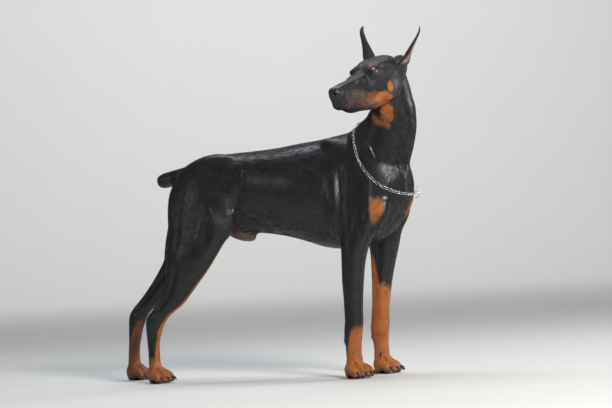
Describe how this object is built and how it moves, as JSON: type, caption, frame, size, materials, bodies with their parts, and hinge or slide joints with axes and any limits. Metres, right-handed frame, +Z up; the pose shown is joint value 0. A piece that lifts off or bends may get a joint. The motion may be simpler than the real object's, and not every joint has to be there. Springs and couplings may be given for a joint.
{
  "type": "dog figure",
  "caption": "Life-size still figure of a short-coated black and tan dog standing square with its head turned to its right, wearing a slip chain collar.",
  "frame": {"origin": "centre of the bounding box in X and Y, on the floor that the feet stand on", "axes": "+X the way the body faces, +Y to the animal's own left, +Z up; the head is turned towards -Y"},
  "size_m": [1.0948, 0.4091, 1.0276],
  "materials": {
    "coat_black": "short glossy black fur",
    "coat_tan": "short rust-tan fur",
    "eye_amber": "wet dark amber eye",
    "chain_steel": "polished steel links"
  },
  "bodies": {
    "root": {"head": "coat_black", "neck": "coat_black", "torso": "coat_black", "rump": "coat_black", "tail": "coat_black", "ear_left": "coat_black", "ear_right": "coat_black", "eye_left": "eye_amber", "eye_right": "eye_amber", "foreleg_left": "coat_black", "foreleg_right": "coat_black", "forepaw_left": "coat_tan", "forepaw_right": "coat_tan", "hindleg_left": "coat_black", "hindleg_right": "coat_black", "hock_left": "coat_black", "hock_right": "coat_black", "hindpaw_left": "coat_tan", "hindpaw_right": "coat_tan", "collar_chain": "chain_steel"}
  },
  "joints": []
}
